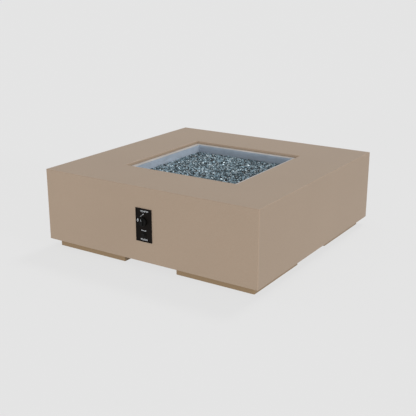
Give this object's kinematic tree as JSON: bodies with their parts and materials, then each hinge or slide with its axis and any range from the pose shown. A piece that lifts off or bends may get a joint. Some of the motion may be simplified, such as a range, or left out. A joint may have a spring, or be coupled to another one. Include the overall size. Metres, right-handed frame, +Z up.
{
  "type": "gas fire pit table",
  "caption": "Low square fire pit table: coated sheet casing on plinth feet, drop-in pan with fire glass over a gas burner, push-and-turn safety valve and push-button igniter.",
  "frame": {"origin": "middle of the footprint, on the floor", "axes": "+Z up, +X to the right and +Y to the back as seen from the control plate at the front"},
  "size_m": [1.22, 1.244, 0.408],
  "materials": {
    "tan_coat": "fine satin powder coat",
    "zinc": "zinc plated",
    "pan_steel": "brushed stainless sheet",
    "burner_steel": "stainless tube, heat tinted",
    "hose_steel": "corrugated stainless",
    "brass": "machined",
    "lava": "rough porous rock",
    "fire_glass": "crushed tinted glass with mirrored faces",
    "ceramic": "fired, unglazed",
    "black_coat": "satin black",
    "black_plastic": "fine moulded",
    "copper": "bare copper",
    "red_lead": "silicone sleeve"
  },
  "bodies": {
    "base": {"top_panel": "tan_coat", "front_panel": "tan_coat", "right_panel": "tan_coat", "back_panel": "tan_coat", "left_panel": "tan_coat", "corner_posts": "tan_coat", "ledge_rails": "tan_coat", "foot_front_left": "tan_coat", "foot_front_right": "tan_coat", "foot_back_left": "tan_coat", "foot_back_right": "tan_coat", "foot_plates": "tan_coat", "foot_bolts": "zinc", "foot_nuts": "zinc", "fire_pan": "pan_steel", "burner_ring": "burner_steel", "burner_locknuts": "brass", "lava_rock": "lava", "fire_glass": "fire_glass", "pilot_bracket": "pan_steel", "pilot_screws": "zinc", "thermocouple": "pan_steel", "spark_electrode": "ceramic", "air_mixer": "brass", "burner_elbow": "brass", "outlet_hose": "hose_steel", "inlet_hose": "hose_steel", "hose_nuts": "brass", "inlet_fitting": "brass", "inlet_locknut": "brass", "gas_valve": "brass", "valve_nut": "zinc", "safety_magnet": "brass", "valve_spring": "zinc", "control_plate": "black_coat", "plate_nuts": "zinc", "igniter_housing": "black_plastic", "igniter_nut": "zinc", "igniter_spring": "zinc", "thermocouple_lead": "copper", "spark_lead": "red_lead"},
    "plunger": {"push_rod": "burner_steel"},
    "knob": {"control_knob": "black_plastic", "valve_stem": "burner_steel"},
    "button": {"igniter_button": "black_plastic"}
  },
  "joints": [
    {"name": "knob_push", "type": "slide", "parent": "base", "child": "plunger", "axis": [0, 1, 0], "range_m": [0, 0.004], "stiffness_N_per_m": 1500, "springref_m": -0.002, "deforming": ["valve_spring"]},
    {"name": "knob_turn", "type": "hinge", "parent": "plunger", "child": "knob", "pos_m": [0, -0.61, 0.244], "axis": [0, -1, 0], "range_deg": [0, 90]},
    {"name": "igniter_press", "type": "slide", "parent": "base", "child": "button", "axis": [0, 1, 0], "range_m": [0, 0.004], "stiffness_N_per_m": 1200, "springref_m": -0.002, "deforming": ["igniter_spring"]}
  ]
}
